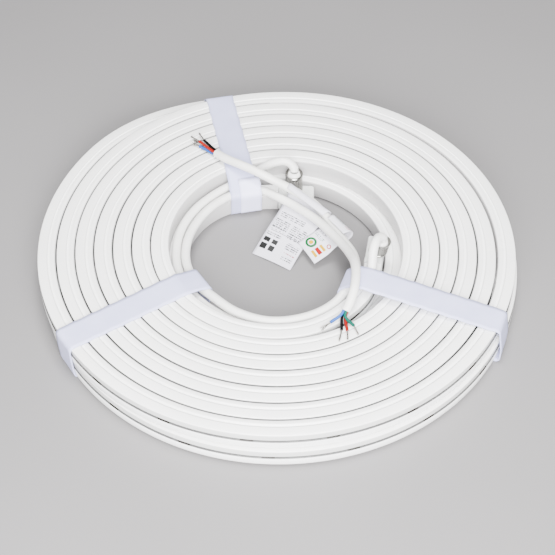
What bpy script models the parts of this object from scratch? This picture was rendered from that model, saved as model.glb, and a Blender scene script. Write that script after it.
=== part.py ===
"""A coil of waterproof LED strip: two flat layers of white silicone strip, three straps, two leads with bare ends.

Metres, +Z up. The coil's axis is the Z axis and the straps rest on z = 0.
"""

import math

import bmesh
import bpy
from mathutils import Matrix, Vector

# Driving sizes of the strip and of the coil that it is wound into
strip_height = 0.0130
turn_pitch = 0.0120
turn_gap = 0.0002
outer_radius = 0.1530
upper_turns = 6
lower_turns = 7
layer_inset = 0.00015
turn_groove_width = 0.0012
turn_groove_depth = 0.0012
slit_width = 0.0007
slit_depth = 0.0006
slit_share_of_height = 0.54
turned_steps = 64

# Driving sizes of the end caps and of what leaves them
cap_length = 0.0240
cap_edge_radius = 0.0014
ferrule_radius = 0.0060
ferrule_bore_radius = 0.0046
ferrule_height = 0.0095
ferrule_from_cap_end = 0.0137
ferrule_outward = 0.0018
boot_base_radius = 0.0043
boot_tip_radius = 0.0036
boot_height = 0.0102
UPPER_LEAN = 12
LOWER_LEAN = 28

# Driving sizes of the leads
lead_diameter = 0.0058
core_diameter = 0.0019
conductor_diameter = 0.0009
cord_point_spacing = 0.0150
most_turn = 14
core_point_spacing = 0.0040

# Driving sizes of the straps
strap_width = 0.0185
strap_thickness = 0.0008
strap_corner_radius = 0.0010
clearance = 0.0003

# Driving sizes of the paper flags
wide_label_width = 0.0290
wide_label_drop = 0.0420
small_label_width = 0.0205
small_label_drop = 0.0205
label_thickness = 0.0003

# Sizes that follow
strip_width = turn_pitch - turn_gap
base_z = strap_thickness + clearance
ledge_z = base_z + strip_height
top_z = base_z + 2 * strip_height
whole_turns_radius = outer_radius - turn_pitch
upper_middle = top_z - strip_height / 2
lower_middle = ledge_z - strip_height / 2
upper_bore_radius = outer_radius - upper_turns * turn_pitch
lower_bore_radius = outer_radius - lower_turns * turn_pitch

# The strip's last turn in each layer, as angle in degrees and how far its middle lies outside
# the bore of the whole turns. Each starts inside those turns and leaves them gradually.
UPPER_END_TURN = [
    (0, 0.0065), (45, 0.0030), (90, -0.0005), (135, -0.0020), (180, -0.0035), (225, -0.0050),
    (262, -0.0066), (285, -0.0077), (295, -0.0095), (305, -0.0117), (320, -0.0144), (328, -0.0165),
    (336, -0.0184), (342, -0.0197),
]
LOWER_END_TURN = [
    (420, 0.0065), (360, 0.0030), (315, 0.0015), (270, 0.0010), (225, 0.0000), (180, -0.0005),
    (156, -0.0008), (133, -0.0022), (115, -0.0056), (103, -0.0082), (91.5, -0.0095),
]

# The outermost turn, as angle in degrees and how far its middle lies outside the whole turns. It
# leaves the upper layer gradually, drops to the lower layer at the back and goes round once more.
OUTER_TURN = [
    (247.5, -0.0061), (144, -0.0023), (90, -0.0005), (0, 0.0036), (-90, 0.0059), (-180, 0.0087), (-216, 0.0098),
    (-238, 0.0105), (-260, 0.0114), (-274, 0.0114), (-295, 0.0101), (-324, 0.0080), (-360, 0.0059), (-389, 0.0053),
    (-421, 0.0067), (-450, 0.0080), (-479, 0.0075), (-508, 0.0066), (-540, 0.0046), (-569, 0.0008), (-594, -0.0025),
    (-697.5, -0.0061),
]
RAMP_START = -214
RAMP_END = -268

# The angle where the line between the turns leaves the bore on the top face. It is a spiral from there.
TURN_LINE_START = -106.875

# The leads' routes, chosen by hand: each leaves its cap, goes round the bore on the ledge of the
# lower layer and comes back across the bore. Every route starts at the boot's tip.
LEAD_FROM_LOWER = [
    (0.0078, 0.0692, 0.0283), (0.0038, 0.0703, 0.0306), (-0.0020, 0.0706, 0.0300), (-0.0085, 0.0705, 0.0269),
    (-0.0165, 0.0688, 0.0223), (-0.0300, 0.0622, 0.0183), (-0.0440, 0.0520, 0.0174), (-0.0560, 0.0385, 0.0174),
    (-0.0643, 0.0215, 0.0174), (-0.0674, 0.0030, 0.0174), (-0.0658, -0.0150, 0.0174), (-0.0583, -0.0323, 0.0174),
    (-0.0464, -0.0470, 0.0174), (-0.0290, -0.0586, 0.0174), (-0.0080, -0.0640, 0.0173), (0.0120, -0.0622, 0.0171),
    (0.0285, -0.0530, 0.0170), (0.0408, -0.0390, 0.0176), (0.0472, -0.0268, 0.0192), (0.0485, -0.0161, 0.0190),
    (0.0470, -0.0039, 0.0180), (0.0407, 0.0108, 0.0165), (0.0324, 0.0291, 0.0155), (0.0219, 0.0431, 0.0180),
    (0.0071, 0.0513, 0.0230), (-0.0036, 0.0541, 0.0280), (-0.0151, 0.0578, 0.0325), (-0.0270, 0.0641, 0.0336),
    (-0.0377, 0.0720, 0.0323), (-0.0431, 0.0780, 0.0308),
]
LEAD_FROM_UPPER = [
    (0.0612, -0.0122, 0.0428), (0.0592, -0.0166, 0.0432), (0.0577, -0.0212, 0.0395), (0.0573, -0.0255, 0.0345),
    (0.0563, -0.0300, 0.0314), (0.0520, -0.0352, 0.0306), (0.0458, -0.0386, 0.0298), (0.0406, -0.0420, 0.0268),
    (0.0352, -0.0478, 0.0240), (0.0260, -0.0555, 0.0234), (0.0125, -0.0618, 0.0234), (-0.0070, -0.0640, 0.0234),
    (-0.0270, -0.0570, 0.0234), (-0.0425, -0.0425, 0.0218), (-0.0530, -0.0285, 0.0182), (-0.0602, -0.0110, 0.0174),
    (-0.0608, 0.0070, 0.0174), (-0.0545, 0.0270, 0.0174), (-0.0430, 0.0432, 0.0174), (-0.0275, 0.0535, 0.0174),
    (-0.0130, 0.0560, 0.0175), (-0.0030, 0.0510, 0.0168), (0.0071, 0.0444, 0.0160), (0.0217, 0.0313, 0.0165),
    (0.0358, 0.0095, 0.0205), (0.0440, -0.0140, 0.0298), (0.0464, -0.0300, 0.0372), (0.0460, -0.0440, 0.0394),
    (0.0444, -0.0530, 0.0386), (0.0423, -0.0583, 0.0352), (0.0395, -0.0630, 0.0318),
]

# The bare cores: name, colour, the points from the jacket's end on, and where the metal starts
CORES_OF_LOWER = [
    ("black", (-0.0520, 0.0920, 0.0297), (-0.0558, 0.0996, 0.0293)),
    ("green", (-0.0534, 0.0896, 0.0286), (-0.0595, 0.0940, 0.0283)),
    ("blue", (-0.0552, 0.0870, 0.0290), (-0.0604, 0.0907, 0.0284)),
    ("red", (-0.0552, 0.0902, 0.0306), (-0.0612, 0.0966, 0.0290)),
]
CORES_OF_UPPER = [
    ("blue", (0.0300, -0.0700, 0.0292), (0.0245, -0.0746, 0.0284)),
    ("black", (0.0367, -0.0758, 0.0290), (0.0351, -0.0834, 0.0281)),
    ("red", (0.0402, -0.0762, 0.0290), (0.0402, -0.0826, 0.0281)),
    ("green", (0.0444, -0.0727, 0.0291), (0.0468, -0.0786, 0.0282)),
]
CORE_RING_RADIUS = 0.0016

# Each strap: name, angle of its middle, and its turn away from the radial direction, in degrees
STRAPS = [("strap_back", 108.5, -6.5), ("strap_left", 212.0, 1.0), ("strap_right", 331.0, 9.5)]

# Paper flags, each flat: a lower corner, the corner beside it along the lead, and the one above it
WIDE_LABEL = [(-0.0187, 0.0137, 0.0006), (0.0062, -0.0016, 0.0006), (0.0017, 0.0484, 0.0130)]
SMALL_LABEL = [(0.0115, 0.0171, 0.0072), (0.0221, -0.0002, 0.0055), (0.0285, 0.0268, 0.0126)]


def new_collection(name):
    collection = bpy.data.collections.new(name)
    bpy.context.scene.collection.children.link(collection)
    return collection


def material(name, colour, roughness, metallic=0.0):
    made = bpy.data.materials.new(name)
    made.use_nodes = True
    shader = made.node_tree.nodes["Principled BSDF"]
    shader.inputs["Base Color"].default_value = (*colour, 1.0)
    shader.inputs["Roughness"].default_value = roughness
    shader.inputs["Metallic"].default_value = metallic
    return made


def link(name, data, collection, finish=None):
    made = bpy.data.objects.new(name, data)
    collection.objects.link(made)
    if finish:
        data.materials.append(finish)
    return made


def as_mesh(source, name, collection, finish=None):
    """A mesh made from a curve object, with its loose caps welded. The curve is removed."""
    graph = bpy.context.evaluated_depsgraph_get()
    graph.update()
    mesh = bpy.data.meshes.new_from_object(source.evaluated_get(graph))
    mesh.name = name
    work = bmesh.new()
    work.from_mesh(mesh)
    bmesh.ops.remove_doubles(work, verts=work.verts, dist=1e-6)
    bmesh.ops.recalc_face_normals(work, faces=work.faces)
    work.to_mesh(mesh)
    work.free()
    mesh.materials.clear()
    place = source.matrix_world.copy()
    bpy.data.objects.remove(source)
    made = link(name, mesh, collection, finish)
    made.matrix_world = place
    return made


def smooth(obj, angle=math.radians(40)):
    obj.data.shade_smooth()
    obj.data.set_sharp_from_angle(angle=angle)


def polar(angle, radius, z=0.0):
    return Vector((radius * math.cos(math.radians(angle)), radius * math.sin(math.radians(angle)), z))


def spline_value(points, i, t):
    """A point of the smooth curve through the points, between number i and the next."""
    before, here, there, after = (points[min(max(k, 0), len(points) - 1)] for k in (i - 1, i, i + 1, i + 2))
    run = (there - here).length
    slope = (there - here) / run
    slopes = []
    for a, b in ((before, here), (there, after)):
        side = (b - a).length
        slopes.append(((b - a) / side * run + slope * side) / (run + side) if side else slope)
    leave, arrive = (run * tangent for tangent in slopes)
    rise = t * t * (3 - 2 * t)
    return here * (1 - rise) + there * rise + leave * t * (1 - t) ** 2 - arrive * t * t * (1 - t)


def smooth_route(points, spacing):
    """Points on a smooth curve through the points, spacing apart and closer where it bends."""
    points = [Vector(p) for p in points]
    fine = [spline_value(points, i, k / 24) for i in range(len(points) - 1) for k in range(24)] + [points[-1]]
    route = [fine[0], fine[24]]
    run = turned_by = 0.0
    for before, here, after in zip(fine[24:], fine[25:], fine[26:]):
        run += (here - before).length
        turned_by += (here - before).angle(after - here)
        if run > spacing or turned_by > math.radians(most_turn):
            route.append(here)
            run = turned_by = 0.0
    if run < spacing / 6 and len(route) > 2:
        route.pop()
    return route + [fine[-1]]


def tube(name, route, diameter, collection, finish, resolution=2):
    curve = bpy.data.curves.new(name, "CURVE")
    curve.dimensions = "3D"
    curve.bevel_depth = diameter / 2
    curve.bevel_resolution = resolution
    curve.use_fill_caps = True
    spline = curve.splines.new("POLY")
    spline.points.add(len(route) - 1)
    for point, place in zip(spline.points, route):
        point.co = (*place, 1.0)
    spline.use_smooth = True
    return link(name, curve, collection, finish)


# The turned body of the coil
def groove(middle, width, depth):
    """Three points along a face: the groove's near edge, its bottom and its far edge."""
    return [(middle - width / 2, 0.0), (middle, depth), (middle + width / 2, 0.0)]


def coil_profile():
    """The whole turns' section as (radius, z), down the outer side, in along the base, up the bore and out again."""
    base = []
    for turn in range(2, lower_turns):
        middle = outer_radius - turn * turn_pitch
        base += [(2 * middle - r, base_z + d) for r, d in groove(middle, turn_groove_width, turn_groove_depth)]
    corner = turn_groove_width / 2
    return (
        [(whole_turns_radius, top_z)]
        + [(whole_turns_radius, base_z + corner), (whole_turns_radius - corner, base_z)]
        + base
        + [(lower_bore_radius + corner, base_z), (lower_bore_radius, base_z + corner)]
        + [(lower_bore_radius, ledge_z - corner), (lower_bore_radius + corner, ledge_z)]
        + [(upper_bore_radius, ledge_z), (upper_bore_radius, top_z - corner), (upper_bore_radius + corner, top_z)]
    )


def turned(name, profile, steps, collection, finish, at=None):
    mesh = bpy.data.meshes.new(name)
    count = len(profile)
    mesh.from_pydata(
        [(radius, 0.0, z) for radius, z in profile], [(i, (i + 1) % count) for i in range(count)], []
    )
    made = link(name, mesh, collection, finish)
    screw = made.modifiers.new("turn", "SCREW")
    screw.steps = screw.render_steps = steps
    screw.use_merge_vertices = True
    screw.merge_threshold = 1e-6
    if at:
        made.location = at
    return made


def end_turn_route(offsets, bore_radius, z, step=7.5):
    """The middle line of a layer's last turn, as points round the axis."""
    knots = [Vector((angle, (bore_radius + off) * 1000, 0)) for angle, off in offsets]
    route = []
    for i in range(len(knots) - 1):
        parts = max(1, round(abs(knots[i + 1].x - knots[i].x) / step))
        for k in range(parts):
            at = spline_value(knots, i, k / parts)
            route.append(polar(at.x, at.y / 1000, z))
    route.append(polar(knots[-1].x, knots[-1].y / 1000, z))
    return route


def outer_turn_route():
    """The middle line of the outermost turn, down its ramp, with points at the turned body's own angles."""
    first, last = OUTER_TURN[0][0], OUTER_TURN[-1][0]
    steps = round((first - last) / 360 * turned_steps)
    route = []
    for k in range(steps + 1):
        angle = first + (last - first) * k / steps
        i = next(n for n in range(len(OUTER_TURN) - 1) if OUTER_TURN[n + 1][0] <= angle + 1e-6)
        (a0, off0), (a1, off1) = OUTER_TURN[i], OUTER_TURN[i + 1]
        drop = min(1.0, max(0.0, (angle - RAMP_START) / (RAMP_END - RAMP_START)))
        z = upper_middle + (lower_middle - upper_middle) * drop * drop * (3 - 2 * drop)
        route.append(polar(angle, whole_turns_radius + off0 + (off1 - off0) * (angle - a0) / (a1 - a0), z))
    return route


def turn_line_route():
    """The line between the turns on the top face, a spiral from the bore to the whole turns' outer edge."""
    route = []
    for k in range(-2, (upper_turns - 1) * turned_steps + 3):
        angle = TURN_LINE_START - 360 * k / turned_steps
        route.append(polar(angle, upper_bore_radius + turn_pitch * k / turned_steps, top_z))
    return route


def bar_section(slit):
    """The strip's section with cut corners, and with the slit in its outer side if asked."""
    corner = turn_groove_width / 2
    half_width = strip_width / 2
    half_height = strip_height / 2 - layer_inset
    corners = []
    for side, sy, along in ((-1, 1, 0), (-1, 1, 1), (1, 1, 1), (1, 1, 0), (1, -1, 0), (1, -1, 1), (-1, -1, 1), (-1, -1, 0)):
        corners.append((side * (half_width - corner * along), sy * (half_height - corner * (1 - along))))
    if slit:
        slit_y = strip_height * (slit_share_of_height - 0.5)
        corners += [(depth - half_width, y) for y, depth in groove(slit_y, slit_width, slit_depth)]
    return corners


def swept(name, route, corners, cutters):
    """A closed mesh of a section swept along a route, upright all the way, for a Boolean."""
    outline = bpy.data.curves.new(name + "_section", "CURVE")
    outline.dimensions = "2D"
    section = outline.splines.new("POLY")
    section.points.add(len(corners) - 1)
    section.use_cyclic_u = True
    for point, (x, y) in zip(section.points, corners):
        point.co = (x, y, 0.0, 1.0)
    outline_object = link(name + "_section", outline, cutters)
    outline_object.hide_render = True
    path = bpy.data.curves.new(name, "CURVE")
    path.dimensions = "3D"
    path.twist_mode = "Z_UP"
    path.bevel_mode = "OBJECT"
    path.bevel_object = outline_object
    path.use_fill_caps = True
    spline = path.splines.new("POLY")
    spline.points.add(len(route) - 1)
    for point, place in zip(spline.points, route):
        point.co = (*place, 1.0)
    made = as_mesh(link(name, path, cutters), name, cutters)
    made.hide_render = True
    made.display_type = "WIRE"
    bpy.data.objects.remove(outline_object)
    return made


def make_coil(parts, cutters, finish):
    """The strip itself, both layers in one body. Returns where its two ends are, and the outermost turn's route."""
    coil = turned("strip_coil", coil_profile(), turned_steps, parts, finish)
    routes = {
        "upper_end": end_turn_route(UPPER_END_TURN, upper_bore_radius, upper_middle),
        "lower_end": end_turn_route(LOWER_END_TURN, lower_bore_radius, lower_middle),
        "outer": outer_turn_route(),
    }
    for place, route in routes.items():
        join = coil.modifiers.new("join_" + place + "_turn", "BOOLEAN")
        join.operation = "UNION"
        join.object = swept("strip_" + place + "_turn", route, bar_section(slit=place == "outer"), cutters)
    cut = coil.modifiers.new("cut_line_between_turns", "BOOLEAN")
    cut.operation = "DIFFERENCE"
    wedge = [(-turn_groove_width, turn_groove_depth), (turn_groove_width, turn_groove_depth), (0, -turn_groove_depth)]
    cut.object = swept("line_between_turns", turn_line_route(), wedge, cutters)
    ends = {}
    for layer in ("upper", "lower"):
        route = routes[layer + "_end"]
        ends[layer] = (route[-1], (route[-1] - route[-2]).normalized())
    return ends, routes["outer"]


# The end caps, ferrules and boots
def own_collection(obj, parts, name, finish):
    """Puts a primitive that was just made in the model's collection, under its own name."""
    obj.name = obj.data.name = name
    for collection in obj.users_collection:
        collection.objects.unlink(obj)
    parts.objects.link(obj)
    obj.data.materials.append(finish)


def make_cap(name, end, heading, parts, finish):
    """A moulded cap on the strip's end. Returns the middle of its outlet on the top face."""
    bpy.ops.mesh.primitive_cube_add(size=1)
    cap = bpy.context.object
    cap.scale = (cap_length, strip_width, strip_height - 2 * layer_inset)
    bpy.ops.object.transform_apply(location=False, rotation=False, scale=True)
    own_collection(cap, parts, name, finish)
    edges = cap.modifiers.new("edges", "BEVEL")
    edges.width = cap_edge_radius
    edges.segments = 3
    cap.location = end + heading * (clearance + cap_length / 2)
    cap.rotation_euler.z = math.atan2(heading.y, heading.x)
    smooth(cap)
    outlet = end + heading * (clearance + cap_length - ferrule_from_cap_end)
    return Vector((outlet.x, outlet.y, end.z + strip_height / 2 - layer_inset))


def make_outlet(layer, outlet, outward, lean, parts, metal, rubber):
    """The ferrule and the boot on a cap, leaning outward. Returns the boot's tip and its direction."""
    outlet = outlet + outward * ferrule_outward
    slant = outward * math.tan(math.radians(lean))
    sheared = Matrix(((1, 0, slant.x, 0), (0, 1, slant.y, 0), (0, 0, 1, 0), (0, 0, 0, 1)))
    ring = [
        (ferrule_radius, ferrule_height), (ferrule_radius, 0.0),
        (ferrule_bore_radius, 0.0), (ferrule_bore_radius, ferrule_height),
    ]
    ferrule = as_mesh(turned("ferrule_" + layer, ring, 24, parts, metal), "ferrule_" + layer, parts, metal)
    ferrule.data.transform(sheared)
    ferrule.location = outlet + Vector((0, 0, clearance))
    smooth(ferrule)
    bpy.ops.mesh.primitive_cone_add(
        vertices=20, radius1=boot_base_radius, radius2=boot_tip_radius, depth=boot_height,
        location=(0, 0, boot_height / 2),
    )
    boot = bpy.context.object
    bpy.ops.object.transform_apply(location=True, rotation=False, scale=False)
    own_collection(boot, parts, "boot_" + layer, rubber)
    rise = Vector((0, 0, 1)) + slant
    tilt = Vector((0, 0, 1)).rotation_difference(rise).to_matrix()
    for vertex in boot.data.vertices:
        if vertex.co.z > boot_height / 2:
            vertex.co = rise * boot_height + tilt @ Vector((vertex.co.x, vertex.co.y, 0))
    boot.location = outlet + Vector((0, 0, clearance))
    smooth(boot)
    return boot.location + rise * boot_height, rise.normalized()


# The leads and their bare cores
def make_lead(name, tip, axis, points, cores, parts, finishes):
    """A lead from the boot's tip along its route, and the four cores at its far end. Returns the route."""
    start = tip + axis * 1.5 * clearance
    route = smooth_route([start, start + axis * lead_diameter / 3] + points, cord_point_spacing)
    tube(name, route, lead_diameter, parts, finishes["jacket"], resolution=3)
    end = route[-1]
    along = (end - route[-2]).normalized()
    side = along.cross(Vector((0, 0, 1))).normalized()
    up = side.cross(along)
    for number, (colour, bend, stop) in enumerate(cores):
        middle_angle = math.radians(45 - 90 * number)
        offset = (side * math.cos(middle_angle) + up * math.sin(middle_angle)) * CORE_RING_RADIUS
        first = end + offset + along * 2 * clearance
        way = [first, first + along * core_diameter, Vector(bend)]
        core = smooth_route(way, core_point_spacing)
        tube(f"{name}_core_{colour}", core, core_diameter, parts, finishes[colour])
        out = (core[-1] - core[-2]).normalized()
        bare = [core[-1] + out * clearance, Vector(stop)]
        tube(f"{name}_wire_{colour}", bare, conductor_diameter, parts, finishes["copper"])
    return route


# The straps
def reach(strap_middle, along, across, radius):
    """Where a circle round the axis lies along the strap, at five places over its width."""
    found = []
    for share in (-1, -0.5, 0, 0.5, 1):
        base = strap_middle + across * (share * strap_width / 2)
        b = base.dot(along)
        found.append(math.sqrt(b * b - base.length_squared + radius * radius) - b)
    return found


def first_pass(route, strap_middle, along, across):
    """The places along and above the strap where a lead first goes through it, a millimetre apart."""
    found = []
    for a, b in zip(route, route[1:]):
        steps = max(1, round((b - a).length / 0.001))
        for k in range(steps):
            place = a.lerp(b, k / steps)
            offset = place - strap_middle
            if abs(offset.dot(across)) < strap_width / 2 + 0.001 and offset.dot(along) > -strap_middle.length:
                found.append((offset.dot(along), place.z))
            elif found:
                return found
    return found


def hull(points):
    """The convex hull of 2-D points, counter-clockwise."""
    points = sorted(set(points))
    sides = []
    for ordered in (points, points[::-1]):
        side = []
        for p in ordered:
            while len(side) > 1 and (
                (side[-1][0] - side[-2][0]) * (p[1] - side[-2][1])
                - (side[-1][1] - side[-2][1]) * (p[0] - side[-2][0])
            ) <= 1e-12:
                side.pop()
            side.append(p)
        sides.append(side[:-1])
    return sides[0] + sides[1]


def grown_hull(circles, by):
    """The outline of a band pulled round circles (u, z, radius), each grown by an amount."""
    dots = []
    for u, z, radius in circles:
        for k in range(24):
            turn = math.tau * k / 24
            dots.append((round(u + (radius + by) * math.cos(turn), 7), round(z + (radius + by) * math.sin(turn), 7)))
    return hull(dots)


def end_turn_inner(offsets, bore_radius, angle):
    """The distance from the axis to the inner side of a layer's last turn, at an angle in degrees."""
    found = [bore_radius]
    for (a0, off0), (a1, off1) in zip(offsets, offsets[1:]):
        for at in (angle, angle + 360):
            if min(a0, a1) <= at <= max(a0, a1):
                middle = bore_radius + off0 + (off1 - off0) * (at - a0) / (a1 - a0)
                found.append(middle - strip_width / 2)
    return min(found)


def outer_corners(route, strap_middle, along, across):
    """Where the outermost turn's outer corners lie within the strap's width, along and above it."""
    corner = turn_groove_width / 2
    found = []
    for a, b in zip(route, route[1:]):
        for k in range(15):
            place = a.lerp(b, k / 15)
            offset = place - strap_middle
            if abs(offset.dot(across)) < strap_width / 2 + 0.001 and offset.dot(along) > 0:
                u = offset.dot(along) + strip_width / 2 - corner
                found += [(u, place.z + side * (strip_height / 2 - corner)) for side in (-1, 1)]
    return found


def make_strap(name, angle, skew, outer_route, routes, parts, finish):
    """A band drawn tight round the coil's section and round the leads that it holds."""
    middle = polar(angle, (outer_radius + upper_bore_radius) / 2)
    along = polar(angle + skew, 1.0)
    across = Vector((-along.y, along.x, 0))
    corner = turn_groove_width / 2
    circles = [(u, z, corner) for u, z in outer_corners(outer_route, middle, along, across)]
    for offsets, bore, high, low in (
        (UPPER_END_TURN, upper_bore_radius, top_z, ledge_z),
        (LOWER_END_TURN, lower_bore_radius, ledge_z, base_z),
    ):
        spread = math.degrees(strap_width / 2 / bore)
        inner = min(end_turn_inner(offsets, bore, angle + k * spread / 2) for k in range(-2, 3))
        u = min(reach(middle, along, across, inner)) + corner
        circles += [(u, high - corner, corner), (u, low + corner, corner)]
    for route in routes:
        for u, z in first_pass(route, middle, along, across):
            circles.append((u, z, lead_diameter / 2 + clearance))
    curve = bpy.data.curves.new(name, "CURVE")
    curve.dimensions = "2D"
    curve.fill_mode = "BOTH"
    curve.extrude = strap_width / 2
    for by in (clearance + strap_thickness, clearance):
        outline = grown_hull(circles, by)
        spline = curve.splines.new("POLY")
        spline.points.add(len(outline) - 1)
        spline.use_cyclic_u = True
        for point, (u, z) in zip(spline.points, outline):
            point.co = (u, z, 0.0, 1.0)
    loop = link(name, curve, parts)
    loop.matrix_world = Matrix(
        (
            (along.x, 0, across.x, middle.x),
            (along.y, 0, across.y, middle.y),
            (0, 1, 0, 0),
            (0, 0, 0, 1),
        )
    )
    bpy.context.view_layer.update()
    strap = as_mesh(loop, name, parts, finish)
    smooth(strap)
    return strap


# The paper flags
def make_label(name, corners, width, drop, parts, finish):
    """A thin square-cut sheet from its lower corner, as wide and as long as asked."""
    corner, beside, above = (Vector(c) for c in corners)
    along = (beside - corner).normalized()
    normal = along.cross(above - corner).normalized()
    up = normal.cross(along)
    bpy.ops.mesh.primitive_cube_add(size=1)
    label = bpy.context.object
    label.scale = (width, drop, label_thickness)
    bpy.ops.object.transform_apply(location=False, rotation=False, scale=True)
    own_collection(label, parts, name, finish)
    centre = corner + along * width / 2 + up * drop / 2
    label.matrix_world = Matrix.Translation(centre) @ Matrix((along, up, normal)).transposed().to_4x4()


for old in list(bpy.data.objects):
    bpy.data.objects.remove(old)
model = new_collection("led_strip_coil")
helpers = new_collection("cutters")
finishes = {
    "strip": material("white_silicone", (0.80, 0.80, 0.79), 0.45),
    "cap": material("cap_silicone", (0.78, 0.79, 0.78), 0.40),
    "ferrule": material("crimped_metal", (0.62, 0.61, 0.58), 0.30, 1.0),
    "jacket": material("lead_jacket", (0.84, 0.84, 0.83), 0.38),
    "strap": material("strap_film", (0.66, 0.67, 0.82), 0.55),
    "paper": material("label_paper", (0.88, 0.88, 0.90), 0.60),
    "black": material("black_insulation", (0.02, 0.02, 0.02), 0.40),
    "red": material("red_insulation", (0.55, 0.06, 0.04), 0.40),
    "blue": material("blue_insulation", (0.13, 0.31, 0.68), 0.40),
    "green": material("green_insulation", (0.02, 0.38, 0.28), 0.40),
    "copper": material("tinned_copper", (0.70, 0.64, 0.56), 0.30, 1.0),
}
strip_ends, outer_route = make_coil(model, helpers, finishes["strip"])
lead_routes = []
for layer, outward_turn, lean, lead_points, lead_cores in (
    ("lower", 90, LOWER_LEAN, LEAD_FROM_LOWER, CORES_OF_LOWER),
    ("upper", -90, UPPER_LEAN, LEAD_FROM_UPPER, CORES_OF_UPPER),
):
    strip_end, strip_heading = strip_ends[layer]
    outlet_place = make_cap("end_cap_" + layer, strip_end, strip_heading, model, finishes["cap"])
    outward = Matrix.Rotation(math.radians(outward_turn), 3, "Z") @ strip_heading
    boot_tip, boot_axis = make_outlet(
        layer, outlet_place, outward, lean, model, finishes["ferrule"], finishes["jacket"]
    )
    lead_routes.append(
        make_lead("lead_" + layer, boot_tip, boot_axis, lead_points, lead_cores, model, finishes)
    )
for strap_name, strap_angle, strap_skew in STRAPS:
    make_strap(strap_name, strap_angle, strap_skew, outer_route, lead_routes, model, finishes["strap"])
make_label("label_wide", WIDE_LABEL, wide_label_width, wide_label_drop, model, finishes["paper"])
make_label("label_small", SMALL_LABEL, small_label_width, small_label_drop, model, finishes["paper"])
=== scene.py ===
# %% [markdown]
# # A coil of waterproof LED strip
# The real thing is about ten metres of LED strip inside a white silicone casing, wound flat in two
# layers. Three thin straps hold the coil. Both ends of the strip lie in the bore, where a white
# lead leaves each of them and ends in four bare cores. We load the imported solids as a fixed
# frame first, and build every finer piece round them.

import math
import random

import bmesh
import bpy
from mathutils import Matrix, Vector


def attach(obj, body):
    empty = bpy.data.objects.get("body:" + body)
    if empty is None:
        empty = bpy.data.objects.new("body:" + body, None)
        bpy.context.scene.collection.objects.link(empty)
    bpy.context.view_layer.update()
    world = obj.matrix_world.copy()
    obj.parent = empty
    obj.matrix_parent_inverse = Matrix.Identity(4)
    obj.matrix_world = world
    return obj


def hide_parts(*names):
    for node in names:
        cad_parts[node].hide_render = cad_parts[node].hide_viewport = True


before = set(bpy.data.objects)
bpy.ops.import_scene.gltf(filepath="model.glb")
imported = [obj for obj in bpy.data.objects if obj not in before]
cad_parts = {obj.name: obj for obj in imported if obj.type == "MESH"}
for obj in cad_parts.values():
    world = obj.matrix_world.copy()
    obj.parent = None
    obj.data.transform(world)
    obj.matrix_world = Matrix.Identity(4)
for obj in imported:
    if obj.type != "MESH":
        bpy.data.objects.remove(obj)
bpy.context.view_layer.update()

# %% [markdown]
# ## The camera
# The photo was taken from 48 degrees above the floor with a long lens, so the far side of the
# coil looks nearly as wide as the near side. Blender's camera takes the same numbers: where it
# stands, how far it tips down, and a lens length for a 36 mm wide sensor.

# %% Camera
camera_data = bpy.data.cameras.new("camera")
camera_data.sensor_width = 36.0
camera_data.lens = 90.96
camera = bpy.data.objects.new("camera", camera_data)
bpy.context.scene.collection.objects.link(camera)
camera.location = (-0.0020, -0.6176, 0.6810)
camera.rotation_euler = (math.radians(41.87), 0.0, 0.0)
bpy.context.scene.camera = camera
print("camera at", tuple(camera.location))

# %% [markdown]
# ## One smooth curve through chosen points
# A lead bends in one flowing line. A few points on it are given, and a spline finds the
# rest. This one weighs each neighbour by its distance, so that close points make no kinks.


# %% Spline helper
def spline_value(points, i, t):
    """A point of the smooth curve through the points, between number i and the next."""
    before, here, there, after = (points[min(max(k, 0), len(points) - 1)] for k in (i - 1, i, i + 1, i + 2))
    run = (there - here).length
    slope = (there - here) / run
    slopes = []
    for a, b in ((before, here), (there, after)):
        side = (b - a).length
        slopes.append(((b - a) / side * run + slope * side) / (run + side) if side else slope)
    leave, arrive = (run * tangent for tangent in slopes)
    rise = t * t * (3 - 2 * t)
    return here * (1 - rise) + there * rise + leave * t * (1 - t) ** 2 - arrive * t * t * (1 - t)


def smooth_route(points, spacing):
    """Points an even distance apart on the smooth curve through the points."""
    points = [Vector(p) for p in points]
    fine = [spline_value(points, i, k / 24) for i in range(len(points) - 1) for k in range(24)]
    fine.append(points[-1])
    lengths = [0.0]
    for a, b in zip(fine, fine[1:]):
        lengths.append(lengths[-1] + (b - a).length)
    count = max(2, round(lengths[-1] / spacing))
    route = []
    j = 0
    for k in range(count + 1):
        at = lengths[-1] * k / count
        while j < len(fine) - 2 and lengths[j + 1] < at:
            j += 1
        route.append(fine[j].lerp(fine[j + 1], min(1.0, (at - lengths[j]) / (lengths[j + 1] - lengths[j]))))
    return route


def route_length(route):
    return sum((b - a).length for a, b in zip(route, route[1:]))


# %% [markdown]
# ## Two ways to make a piece
# A round cord is a curve with a thickness: Blender keeps it round however it bends. Every other
# piece here is a mesh that we write down as a list of points and a list of faces, because then
# each size is a number that we can change. Both need the same few lines, so we write them once.


# %% Piece helpers
def new_piece(name, data):
    """An object in the scene that shows a curve or a mesh."""
    made = bpy.data.objects.new(name, data)
    bpy.context.scene.collection.objects.link(made)
    return made


def round_curve(name, diameter, sides):
    """An empty curve with a round section and flat caps."""
    curve = bpy.data.curves.new(name, "CURVE")
    curve.dimensions = "3D"
    curve.bevel_depth = diameter / 2
    curve.bevel_resolution = sides
    curve.use_fill_caps = True
    return curve


def add_line(curve, places):
    """A line of points on a curve."""
    spline = curve.splines.new("POLY")
    spline.points.add(len(places) - 1)
    for point, place in zip(spline.points, places):
        point.co = (*place, 1.0)
    spline.use_smooth = True


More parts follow.
